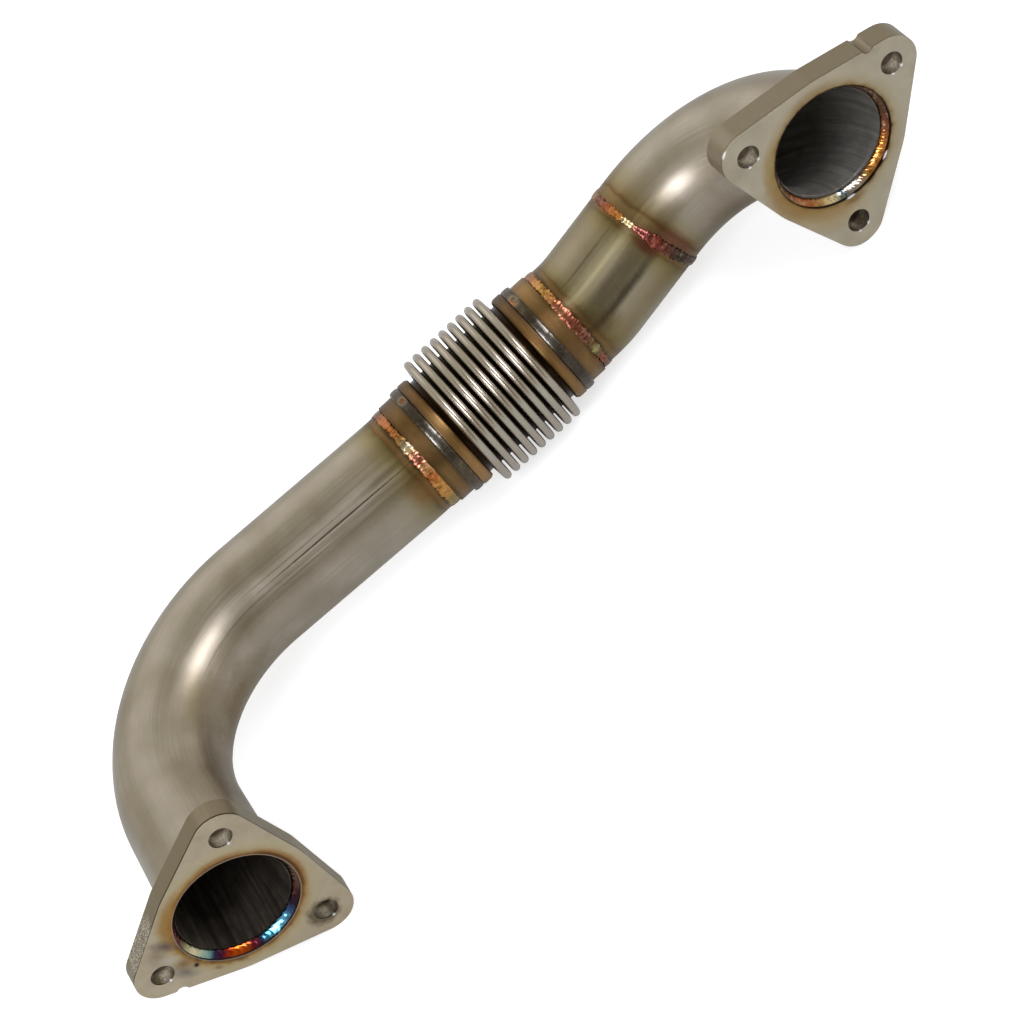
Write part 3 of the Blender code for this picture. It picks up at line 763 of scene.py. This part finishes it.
pipeX = Vector((1, 0, 0))
lowerLine = centreline(pipeX * -tubing["joint"], tubing["lowerLegs"], tubing["lowerBends"])
upperLine = centreline(pipeX * tubing["joint"], tubing["upperLegs"], tubing["upperBends"])
lowerWhole, upperWhole = lineLength(lowerLine), lineLength(upperLine)
firstLeg, secondLeg = tubing["upperLegs"][:2]
elbowWeldDir = heading(*secondLeg[1:])
firstTurn = heading(*firstLeg[1:]).angle(elbowWeldDir)
savedInBend = tubing["upperBends"][0] * (2 * math.tan(firstTurn / 2) - firstTurn)
elbowWeldRun = firstLeg[0] + tubing["elbowWeldAt"] - savedInBend

bentTube(
    "lower_tube_bent", lowerLine, tubing["endGap"], lowerWhole - tubing["recess"], tubing["lowerSwage"],
    [tubing["collarWeldRun"]], lowerTubeFinish, lowerBoreFinish, "lower_tube",
)
bentTube(
    "spool_tube_short", upperLine, tubing["endGap"], elbowWeldRun - tubing["endGap"], tubing["upperSwage"],
    [tubing["collarWeldRun"], elbowWeldRun], spoolFinish, upperBoreFinish, "spool_tube",
)
bentTube(
    "upper_elbow_bent", upperLine, elbowWeldRun + tubing["endGap"], upperWhole - tubing["recess"],
    tubing["upperSwage"], [elbowWeldRun], elbowFinish, upperBoreFinish, "upper_elbow",
)
print("tubes bent")


def halfRound(radius, height, reach, steps, side):
    # half a circle of a profile, bulging outwards when side is 1 and inwards when it is -1
    turns = [math.pi * i / steps for i in range(steps + 1)]
    return [(radius + side * reach * math.sin(a), height + reach * math.cos(a)) for a in turns]


# Bellows: one foil profile with round crests, turned about the axis
def bellowsProfile():
    half = bellows["pitch"] * bellows["convolutions"] / 2
    tip, ply, root = bellows["crestWidth"] / 2, bellows["ply"], bellows["rootRadius"]
    rootArc = (bellows["pitch"] - bellows["crestWidth"]) / 2
    crest, valley = bellows["crestRadius"] - tip, root + rootArc
    outer, inner = [(root, bellows["cuffEnd"])], []
    for k in range(bellows["convolutions"]):
        middle = half - bellows["pitch"] * (k + 0.5)
        if k == 0:
            outer.append((root, middle + tip + rootArc))
            inner.append((root - ply, middle + tip + rootArc - ply))
        outer += halfRound(crest, middle, tip, bellows["crestSteps"], 1)
        inner += halfRound(crest, middle, tip - ply, bellows["crestSteps"], 1)
        below = middle - tip - rootArc
        if k < bellows["convolutions"] - 1:
            outer += halfRound(valley, below, rootArc, bellows["rootSteps"], -1)
            inner += halfRound(valley, below, rootArc + ply, bellows["rootSteps"], -1)
        else:
            outer.append((root, below))
            inner.append((root - ply, below + ply))
    outer.append((root, -bellows["cuffEnd"]))
    inner = [(root - ply, bellows["cuffEnd"]), *inner, (root - ply, -bellows["cuffEnd"])]
    return outer + inner[::-1]


alongBellows = frameAt(Vector((0, 0, 0)), pipeX)
againstBellows = frameAt(Vector((0, 0, 0)), -pipeX)

foil = turnProfile("bellows_foil", bellowsProfile(), bellows["steps"])
dress(foil, "bellows_steel", bellowsFinish)
settle(foil, alongBellows)
smooth(foil, 50)
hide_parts("bellows")
print("bellows turned")


def rippleAt(theta, run, seed):
    # one ripple after another along a weld: 0 in each groove, 1 on each crest
    beat = run + 0.7 * weave(theta, 0, 9, seed)
    saw = beat - math.floor(beat)
    return 1 - abs(2 * saw - 1) ** 1.5


# Welds: a half-round bead with the ripples that each pulse of the torch leaves
def beadProfile(inner, low, high, crest, foot, flatness):
    profile = [(inner, high), (inner, low)]
    middle, half = (low + high) / 2, (high - low) / 2
    for i in range(collar["beadPoints"] + 1):
        a = math.pi * i / collar["beadPoints"]
        profile.append((foot + (crest - foot) * math.sin(a) ** flatness, middle - half * math.cos(a)))
    return profile


def formAt(form, turn):
    # width and height of a bead at a turn round it, as shares of its full size
    for (begin, *low), (end, *high) in zip(form, form[1:]):
        if begin <= turn <= end:
            t = (turn - begin) / (end - begin)
            t = t * t * (3 - 2 * t)
            return [a + (b - a) * t for a, b in zip(low, high)]


def rippleBead(ring, low, high, foot, ripples, pits, form):
    pitch, depth, bow, uneven, ragged, seed = ripples
    middle, half = (low + high) / 2, (high - low) / 2
    for vertex in ring.data.vertices:
        x, y, z = (c / mm for c in vertex.co)
        radius = math.hypot(x, y)
        if radius < foot - 0.01:
            continue
        theta = math.atan2(y, x)
        w = max(-1.0, min(1.0, (z - middle) / half))
        wide, tall = formAt(form, math.degrees(theta) % 360)
        z, radius = middle + (z - middle) * wide, foot + (radius - foot) * tall
        lift = depth * (rippleAt(theta, theta * radius / pitch + bow * (w * w), seed + 3) - 0.5)
        cover = 1 - w * w
        lift = lift * cover + uneven * weave(theta, w * 0.3, 14, seed) * cover
        slide = ragged * weave(theta, 0, 22, seed + 1) * w * abs(w)
        for turn, height, size, deep in pits:
            away = math.hypot((theta - math.radians(turn)) * radius, z - height) / size
            lift += deep * (0.5 * math.exp(-((away - 1.25) / 0.35) ** 2) - math.exp(-away * away))
        outwards = (radius + lift * tall) / math.hypot(x, y)
        vertex.co = Vector((x * outwards, y * outwards, z + slide)) * mm


def weldRing(name, where, shape, ripples, slot, finishMaterial, node, pits, form, skewed=False):
    ring = turnProfile(name, beadProfile(*shape), collar["weldSteps"])
    dress(ring, slot, finishMaterial)
    _, low, high, _, foot, _ = shape
    rippleBead(ring, low, high, foot, ripples, pits, form)
    if skewed:
        for vertex in ring.data.vertices:
            vertex.co.z += skewOfWeld(math.atan2(vertex.co.y, vertex.co.x), 0.0) * mm
    settle(ring, where)
    smooth(ring, 60)
    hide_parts(node)


def plainRing(name, profile, edge, slot, finishMaterial, where, node):
    ring = turnProfile(name, profile, collar["steps"])
    if edge:
        softenEdges(ring, edge, 4, 40)
    dress(ring, slot, finishMaterial)
    settle(ring, where)
    evenShading(ring)
    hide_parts(node)


def collarSet(side, where, finishes):
    # finishes: of the cap ring, the sleeve, the seam and the bead
    root, cap, capFrom, capTo = bellows["rootRadius"], collar["capRadius"], collar["capFrom"], collar["capTo"]
    capInside = root + collar["capGap"]
    plainRing(f"{side}_cap_ring_turned", [
        (cap, capTo), (cap, capFrom + collar["capSlope"]), (cap - collar["capStep"], capFrom),
        (capInside, capFrom), (capInside, capTo),
    ], collar["capEdge"], "cap_steel", finishes[0], where, f"{side}_cap_ring")

    tube, inside, joint = tubing["radius"], tubing["radius"] - tubing["wall"], tubing["joint"]
    spigot, cuffGap = root - bellows["ply"] - collar["sleeveGap"], bellows["cuffEnd"] + collar["sleeveGap"]
    sleeve, lap, shoulder = collar["sleeveRadius"], collar["seamTo"] - collar["seamLap"], collar["shoulder"]
    tubeEnd, sleeveEnd = collar["shoulderEnds"]
    plainRing(f"{side}_sleeve_turned", [
        (tube, joint), (tube, shoulder + tubeEnd), (sleeve, shoulder + sleeveEnd), (sleeve, lap), (root, lap),
        (root, cuffGap), (spigot, cuffGap), (spigot, collar["sleeveFrom"]), (inside, collar["sleeveFrom"]),
        (inside, joint),
    ], 0, "sleeve_steel", finishes[1], where, f"{side}_sleeve")

    weldRing(
        f"{side}_seam_bead", where, beadShapes["seam"], beadRipples[side + "Seam"], "weld_dark", finishes[2],
        f"{side}_seam_weld", [seamPits[side]], beadForms["seam"],
    )
    weldRing(
        f"{side}_collar_bead", where, beadShapes["collar"], beadRipples[side + "Collar"], "weld_gold",
        finishes[3], f"{side}_collar_weld", (), beadForms[side + "Collar"],
    )


collarSet("lower", againstBellows, (lowerCapFinish, lowerSleeveFinish, lowerSeamFinish, lowerCollarFinish))
collarSet("upper", alongBellows, (upperCapFinish, upperSleeveFinish, upperSeamFinish, upperCollarFinish))

elbowWeldPlace = pipeX * (tubing["joint"] + firstLeg[0]) + elbowWeldDir * tubing["elbowWeldAt"]
weldRing(
    "elbow_bead", frameAt(elbowWeldPlace, elbowWeldDir), beadShapes["elbow"], beadRipples["elbow"],
    "weld_gold", elbowWeldFinish, "elbow_weld", (), beadForms["elbow"], True,
)
print("collars and welds laid")


# Flanges: a disc and three lobes wrapped in one hull, then bored, drilled and notched
def flangePlate(name, shape, where, plateFinish, node):
    thick = shape["thick"]
    reach = math.degrees(math.acos((flangeShape["disc"] - flangeShape["lobe"]) / flangeShape["boltCircle"]))
    lobes = [heading(shape["turn"] + 120 * k, 0) * flangeShape["boltCircle"] for k in range(3)]
    discs = [(flangeShape["disc"], Vector((0, 0, 0)), flangeShape["roundSides"])]
    discs += [(flangeShape["lobe"], p, flangeShape["lobeSides"]) for p in lobes]
    blanks = [cylinder(radius, (p.x, p.y, -thick / 2), thick, sides) for radius, p, sides in discs]
    for blank in blanks:
        blank.select_set(True)
    bpy.context.view_layer.objects.active = blanks[0]
    bpy.ops.object.join()
    plate = bpy.context.object
    plate.name = name
    bpy.ops.object.transform_apply(location=True, rotation=True, scale=True)
    bpy.ops.object.mode_set(mode="EDIT")
    bpy.ops.mesh.select_all(action="SELECT")
    bpy.ops.mesh.convex_hull(join_triangles=False)
    bpy.ops.mesh.select_all(action="SELECT")
    bpy.ops.mesh.remove_doubles(threshold=0.01 * mm)
    bpy.ops.mesh.dissolve_limited(angle_limit=math.radians(0.5))
    bpy.ops.object.mode_set(mode="OBJECT")
    swing = shape["notchTurn"] + reach
    notchAt = heading(shape["notchTurn"], 0) * flangeShape["boltCircle"]
    notchAt += heading(swing, 0) * (flangeShape["lobe"] + flangeShape["notchOut"] * flangeShape["notch"])
    notchAt += heading(swing + 90, 0) * shape["notchSlide"]
    cuts = [(flangeShape["bore"], Vector((0, 0, 0)), flangeShape["roundSides"])]
    cuts += [(flangeShape["notch"], notchAt, flangeShape["notchSides"])]
    cuts += [(flangeShape["boltHole"], p, flangeShape["lobeSides"]) for p in lobes]
    for radius, p, sides in cuts:
        tool = cylinder(radius, (p.x, p.y, 0), 4 * thick, sides)
        bite = plate.modifiers.new("Cut", "BOOLEAN")
        bite.object = tool
        bite.operation = "DIFFERENCE"
        bite.solver = "EXACT"
        applyModifiers(plate)
        bpy.data.objects.remove(tool, do_unlink=True)
    softenEdges(plate, flangeShape["edge"], 3, 50)
    dress(plate, "flange_steel", plateFinish)
    settle(plate, where)
    evenShading(plate)
    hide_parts(node)


def boreWeld(name, where, slot, finishMaterial, ripples, node):
    # a hollow ring from the mouth of the tube up to the bore, with its ripples on the inside
    mouth = tubing["mouthRadius"] - tubing["wall"] + mouthBead["tubeGap"]
    wall, top = flangeShape["bore"] - mouthBead["gap"], mouthBead["top"]
    foot = mouthBead["gap"] - tubing["recess"]
    rise, (outPower, upPower) = foot + mouthBead["footRise"], mouthBead["hollow"]
    profile = [(wall, top), (wall, foot)]
    for i in range(mouthBead["points"]):
        t = i / mouthBead["points"]
        profile.append((mouth + (wall - mouth) * t ** outPower, rise + (top - rise) * t ** upPower))
    ring = turnProfile(name, profile, collar["weldSteps"])
    dress(ring, slot, finishMaterial)
    pitch, depth, uneven, seed = ripples
    for vertex in ring.data.vertices:
        x, y, z = (c / mm for c in vertex.co)
        radius = math.hypot(x, y)
        if radius > wall - 0.02:
            continue
        theta = math.atan2(y, x)
        w = (z - foot) / (top - foot)
        lift = depth * rippleAt(theta, theta * radius / pitch + mouthBead["bow"] * (2 * w - 1) ** 2, seed)
        lift += uneven * weave(theta, w * 0.4, 12, seed)
        lift *= math.sin(math.pi * min(1.0, max(0.0, w)))
        grow = (radius - lift * mouthBead["inwards"]) / radius
        vertex.co = Vector((x * grow, y * grow, z + lift * mouthBead["upwards"])) * mm
    settle(ring, where)
    smooth(ring, 60)
    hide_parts(node)


lowerFace = frameAt(alongLine(lowerLine, lowerWhole)[0], heading(*tubing["lowerLegs"][-1][1:]))
upperFace = frameAt(alongLine(upperLine, upperWhole)[0], heading(*tubing["upperLegs"][-1][1:]))
flangePlate("lower_flange_plate", flangeShape["lower"], lowerFace, lowerFlangeFinish, "lower_flange")
flangePlate("upper_flange_plate", flangeShape["upper"], upperFace, upperFlangeFinish, "upper_flange")
boreWeld("lower_bore_bead", lowerFace, "weld_blue", lowerRingFinish, mouthBead["lower"], "lower_flange_weld")
boreWeld("upper_bore_bead", upperFace, "weld_gold", upperRingFinish, mouthBead["upper"], "upper_flange_weld")
print("flanges cut")


# Studio: pale floor, white surroundings, two soft lamps past the ends of the pipe and a dim front of the room
studio = {
    "cameraPlace": (-8.55, 52.67), "cameraRoll": 42.4, "cameraDistance": 2500.0, "cameraClip": (0.05, 50.0),
    "photoPixels": 1024, "pixelsPerMm": 2.339, "sensorWidth": 36.0, "floorSize": 6.0, "floorGlow": 0.68,
    "mirroredGlow": 0.15, "roomFill": 0.5,
    "dimFront": (-0.07, -0.72, 0.69), "lampTone": (1.0, 1.02, 1.15), "lampTarget": (0, 0, 0.04),
    # direction, distance, size and power of each lamp
    "lamps": {
        "soft_lamp_right": ((0.46, -0.48, 0.74), 1.6, 0.74, 10),
        "soft_lamp_left": ((-0.57, -0.48, 0.67), 1.6, 0.74, 10),
        "soft_lamp_back": ((0.1, 0.85, 0.6), 1.8, 1.6, 3),
    },
}

roll = math.radians(studio["cameraRoll"])
pipeInView = Matrix(((math.cos(roll), -math.sin(roll), 0), (math.sin(roll), math.cos(roll), 0), (0, 0, 1)))
viewAxes = layMatrix.to_3x3() @ pipeInView.transposed()
cameraSpot = viewAxes @ (Vector((0, 0, studio["cameraDistance"])) - Vector((*studio["cameraPlace"], 0)))
cameraSpot = cameraSpot * mm + layMatrix.translation
bpy.ops.object.camera_add()
camera = bpy.context.object
camera.name = "photo_camera"
camera.matrix_world = Matrix.Translation(cameraSpot) @ viewAxes.to_4x4()
camera.data.sensor_width = studio["sensorWidth"]
photoWidth = studio["photoPixels"] / studio["pixelsPerMm"]
camera.data.lens = studio["sensorWidth"] * studio["cameraDistance"] / photoWidth
camera.data.clip_start, camera.data.clip_end = studio["cameraClip"]
camera.data.dof.use_dof = False
bpy.context.scene.camera = camera
bpy.context.scene.view_settings.view_transform = "Standard"

bpy.ops.mesh.primitive_plane_add(size=studio["floorSize"], location=(0, 0, 0))
floor = bpy.context.object
floor.name = "studio_floor"


# Matt white paper: it clips to white where it is lit and keeps the pipe's shadow
def paperFloor():
    made, tree, shader = newMaterial("white_paper_floor", 0.0)
    shader.inputs["Base Color"].default_value = toLinear("#c8c8c6")
    shader.inputs["Roughness"].default_value = 0.9
    shader.inputs["Specular IOR Level"].default_value = 0.1
    rays = addNode(tree, "LightPath").outputs
    mirrored = worked(tree, "MAXIMUM", rays["Is Glossy Ray"], rays["Is Transmission Ray"])
    glow = spread(tree, mirrored, 0.0, 1.0, 0.0, studio["mirroredGlow"])
    seen = spread(tree, rays["Is Camera Ray"], 0.0, 1.0, 0.0, studio["floorGlow"])
    shader.inputs["Emission Color"].default_value = (1, 1, 1, 1)
    tree.links.new(worked(tree, "MAXIMUM", glow, seen), shader.inputs["Emission Strength"])
    return made


floor.data.materials.append(paperFloor())

world = bpy.data.worlds.new("white_studio")
bpy.context.scene.world = world
world.use_nodes = True
sky = world.node_tree
background = sky.nodes["Background"]
rays = addNode(sky, "LightPath").outputs
around = addNode(sky, "TexCoord").outputs["Generated"]
roomTone = rampOf(sky, partsOf(sky, around)["Z"], [
    (0.0, "#dbd6cb"), (0.3, "#dbd6ca"), (0.7, "#d6d2c8"), (1.0, "#d3cfc4"),
])
toFront = addNode(sky, "VectorMath", {1: studio["dimFront"]}, {0: around}, operation="DOT_PRODUCT")
frontTone = rampOf(sky, toFront.outputs["Value"], [
    (0.0, "#ffffff"), (0.55, "#ffffff"), (0.85, "#aaa595"), (1.0, "#9c9686"),
])
roomTone = mixed(sky, 1.0, roomTone, frontTone, "MULTIPLY")
tone = mixed(sky, rays["Is Glossy Ray"], (*[studio["roomFill"]] * 3, 1), roomTone)
tone = mixed(sky, rays["Is Camera Ray"], tone, (1, 1, 1, 1))
sky.links.new(tone, background.inputs["Color"])
background.inputs["Strength"].default_value = 1.0


def softLamp(name, direction, distance, size, power):
    # an area lamp in a direction of the row frame, facing the pipe
    toward = Vector(direction).normalized()
    bpy.ops.object.light_add(type="AREA", location=Vector(studio["lampTarget"]) + toward * distance)
    lamp = bpy.context.object
    lamp.name = name
    lamp.data.shape = "DISK"
    lamp.data.size = size
    lamp.data.energy = power
    lamp.data.color = studio["lampTone"]
    lamp.rotation_euler = toward.to_track_quat("Z", "Y").to_euler()


for name, values in studio["lamps"].items():
    softLamp(name, *values)
print("studio set")
